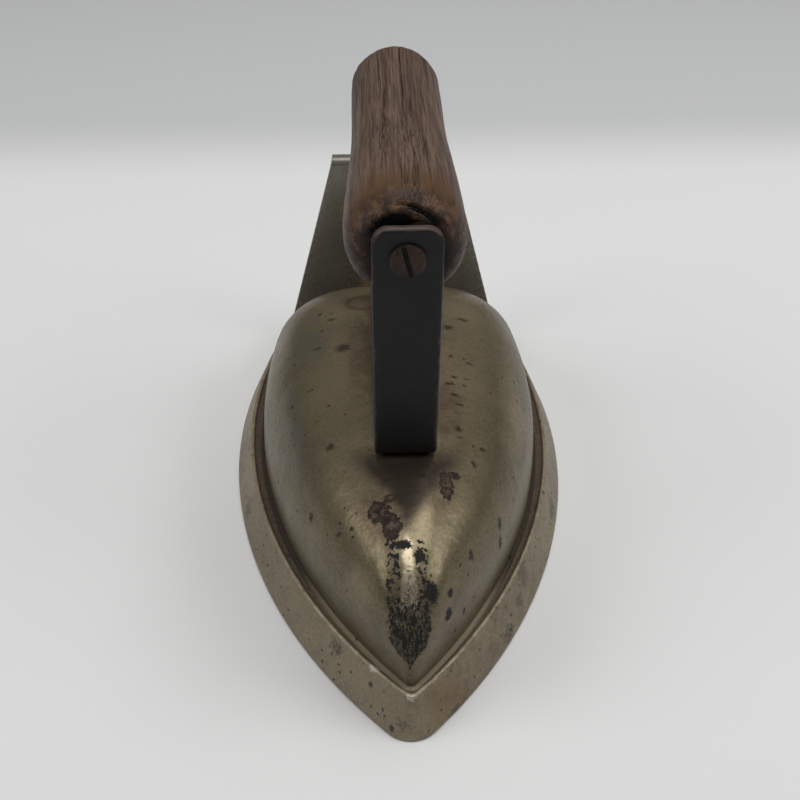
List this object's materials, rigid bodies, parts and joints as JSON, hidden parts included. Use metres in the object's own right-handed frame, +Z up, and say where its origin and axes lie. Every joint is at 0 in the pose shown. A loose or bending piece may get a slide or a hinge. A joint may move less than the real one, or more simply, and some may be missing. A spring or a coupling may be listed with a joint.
{
  "type": "flat iron",
  "caption": "Early electric flat iron: bevelled cast sole, pressed plated cover, bent strap with a turned wooden grip, and an upright heel plate.",
  "frame": {"origin": "middle of the iron's length and width, on the plane of the sole", "axes": "+Z up from the sole, +Y towards the heel plate, nose along -Y, +X to the right seen from the nose"},
  "size_m": [0.1038, 0.17, 0.1247],
  "materials": {
    "sole_casting": "worn plated casting, browned along the rim",
    "inner_casting": "plain casting",
    "cover_plating": "aged nickel plate, satin",
    "strap_black": "black enamel, satin",
    "grip_wood": "weathered turned wood",
    "rusty_steel": "browned steel",
    "heel_sheet": "aged nickel plate, dull",
    "steel": "plain steel",
    "porcelain": "glazed",
    "brass": "tarnished",
    "mica": "pale sheet mica",
    "asbestos": "grey millboard",
    "ribbon": "resistance ribbon"
  },
  "bodies": {
    "root": {"sole_plate": "sole_casting", "lower_mica": "mica", "heating_element": "ribbon", "upper_mica": "mica", "asbestos_sheet": "asbestos", "pressure_plate": "inner_casting", "clamp_studs": "steel", "clamp_washers": "steel", "clamp_nuts": "steel", "cover": "cover_plating", "handle_strap": "strap_black", "strap_washers": "steel", "strap_nuts": "steel", "grip": "grip_wood", "grip_screws": "rusty_steel", "heel_plate": "heel_sheet", "heel_screws": "rusty_steel", "terminal_block": "porcelain", "terminal_pins": "brass", "terminal_nuts": "brass", "lead_strips": "ribbon", "block_screws": "steel"}
  },
  "joints": []
}
